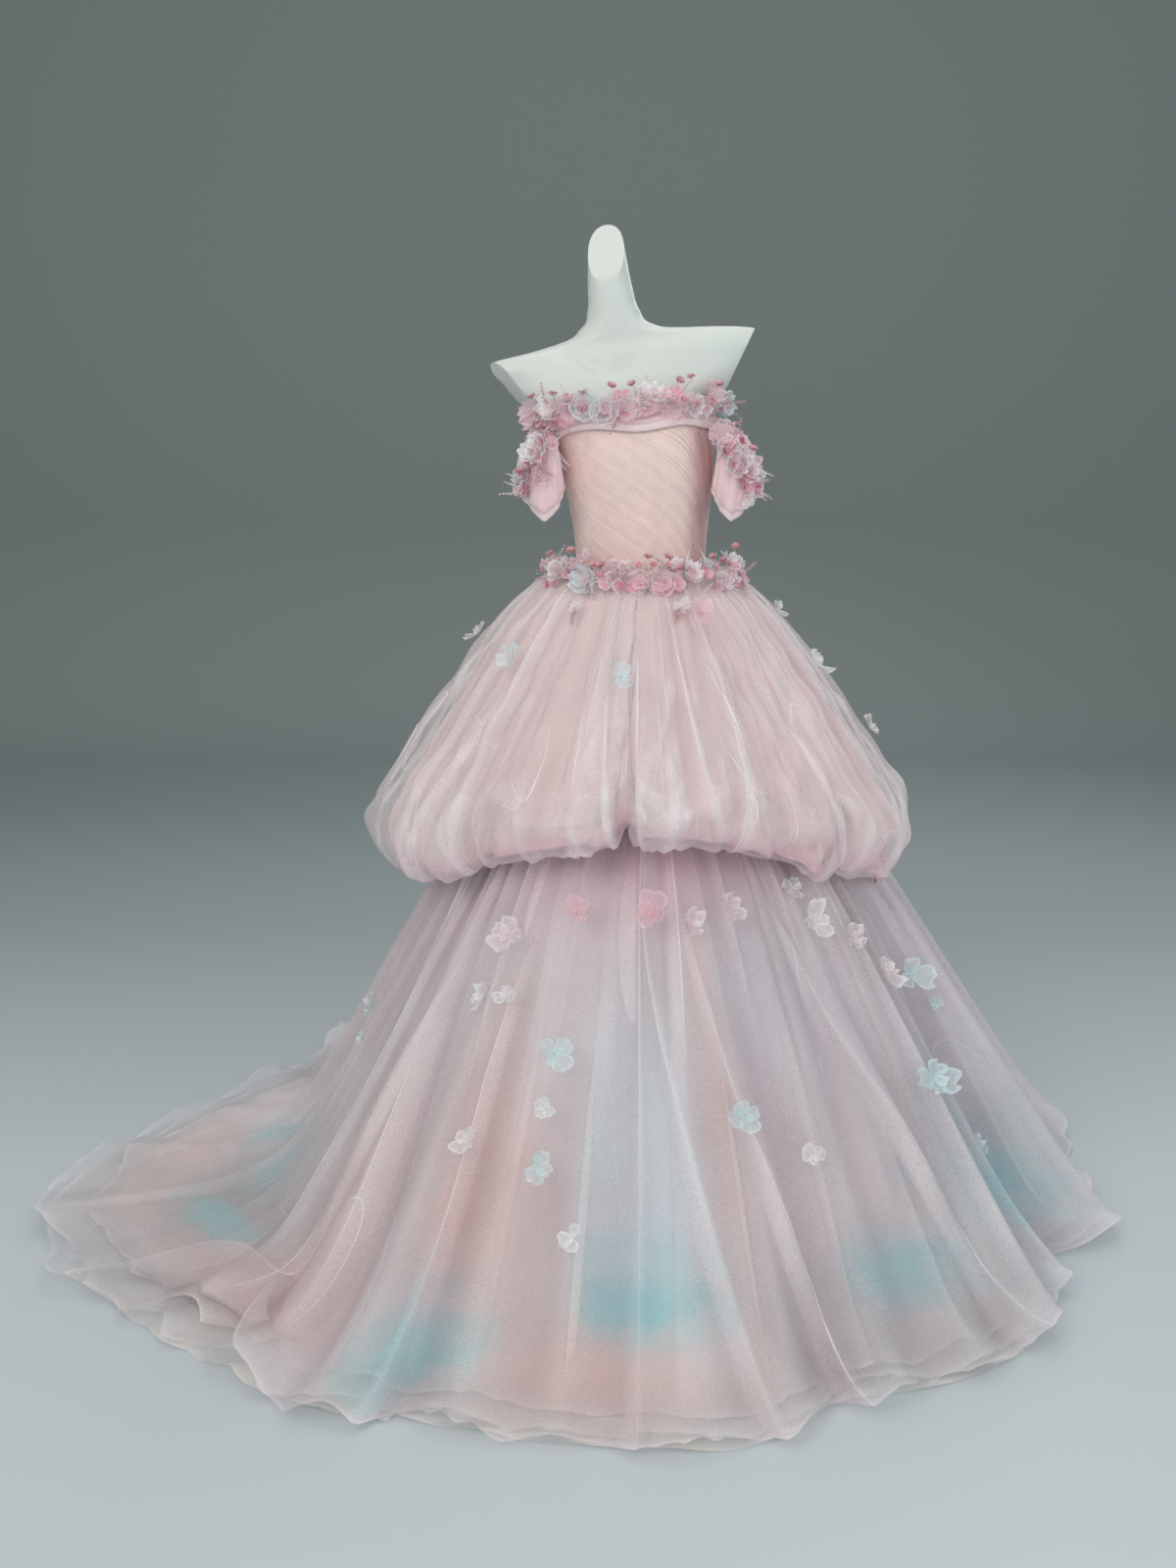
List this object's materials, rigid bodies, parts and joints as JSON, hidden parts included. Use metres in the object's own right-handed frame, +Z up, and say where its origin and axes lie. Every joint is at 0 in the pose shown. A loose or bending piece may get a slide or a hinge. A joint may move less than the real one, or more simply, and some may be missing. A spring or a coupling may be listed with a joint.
{
  "type": "ball gown on a limbless dress form",
  "caption": "Strapless ball gown with off-shoulder sleeves, puffed tulle overskirt, full underskirt, side train and fabric flowers, worn by a limbless dress form on a stand.",
  "frame": {"origin": "centre of the stand's base on its underside, on the floor", "axes": "+Z up, the gown faces -Y, +X is to the right of someone facing its front"},
  "size_m": [1.8086, 1.6335, 1.6235],
  "materials": {
    "form": "matte",
    "stand": "brushed",
    "bodice_tulle": "matte",
    "band_tulle": "matte",
    "overskirt_tulle": "matte",
    "underskirt_tulle": "matte",
    "ivory_tulle": "matte",
    "rose_petals": "satin",
    "pale_petals": "satin",
    "aqua_petals": "satin"
  },
  "bodies": {
    "root": {"form_torso": "form", "form_pole": "stand", "form_base": "stand", "bodice_front": "bodice_tulle", "bodice_side_left": "bodice_tulle", "bodice_side_right": "bodice_tulle", "bodice_back_left": "bodice_tulle", "bodice_back_right": "bodice_tulle", "band_front": "band_tulle", "band_back_left": "band_tulle", "band_back_right": "band_tulle", "sleeve_left": "band_tulle", "sleeve_right": "band_tulle", "overskirt_front": "overskirt_tulle", "overskirt_left": "overskirt_tulle", "overskirt_right": "overskirt_tulle", "overskirt_back_left": "overskirt_tulle", "overskirt_back_right": "overskirt_tulle", "skirt_front": "underskirt_tulle", "skirt_front_left": "underskirt_tulle", "skirt_front_right": "underskirt_tulle", "skirt_side_right": "underskirt_tulle", "skirt_back_right": "underskirt_tulle", "skirt_back_left": "underskirt_tulle", "skirt_train": "underskirt_tulle", "ivory_hem_front": "ivory_tulle", "ivory_hem_train": "ivory_tulle", "garland_waist": "rose_petals", "garland_neckline": "rose_petals", "garland_sleeve_left": "rose_petals", "garland_sleeve_right": "rose_petals", "blossom_over_1": "pale_petals", "blossom_over_2": "aqua_petals", "blossom_over_3": "aqua_petals", "blossom_over_4": "rose_petals", "blossom_over_5": "aqua_petals", "blossom_over_6": "pale_petals", "blossom_over_7": "pale_petals", "blossom_over_8": "aqua_petals", "blossom_under_1": "aqua_petals", "blossom_under_2": "rose_petals", "blossom_under_3": "rose_petals", "blossom_under_4": "rose_petals", "blossom_under_5": "pale_petals", "blossom_under_6": "pale_petals", "blossom_under_7": "pale_petals", "blossom_under_8": "aqua_petals", "blossom_under_9": "aqua_petals", "blossom_under_10": "aqua_petals", "blossom_under_11": "aqua_petals", "blossom_under_12": "aqua_petals", "blossom_under_13": "rose_petals", "blossom_under_14": "pale_petals", "blossom_under_15": "aqua_petals"}
  },
  "joints": []
}
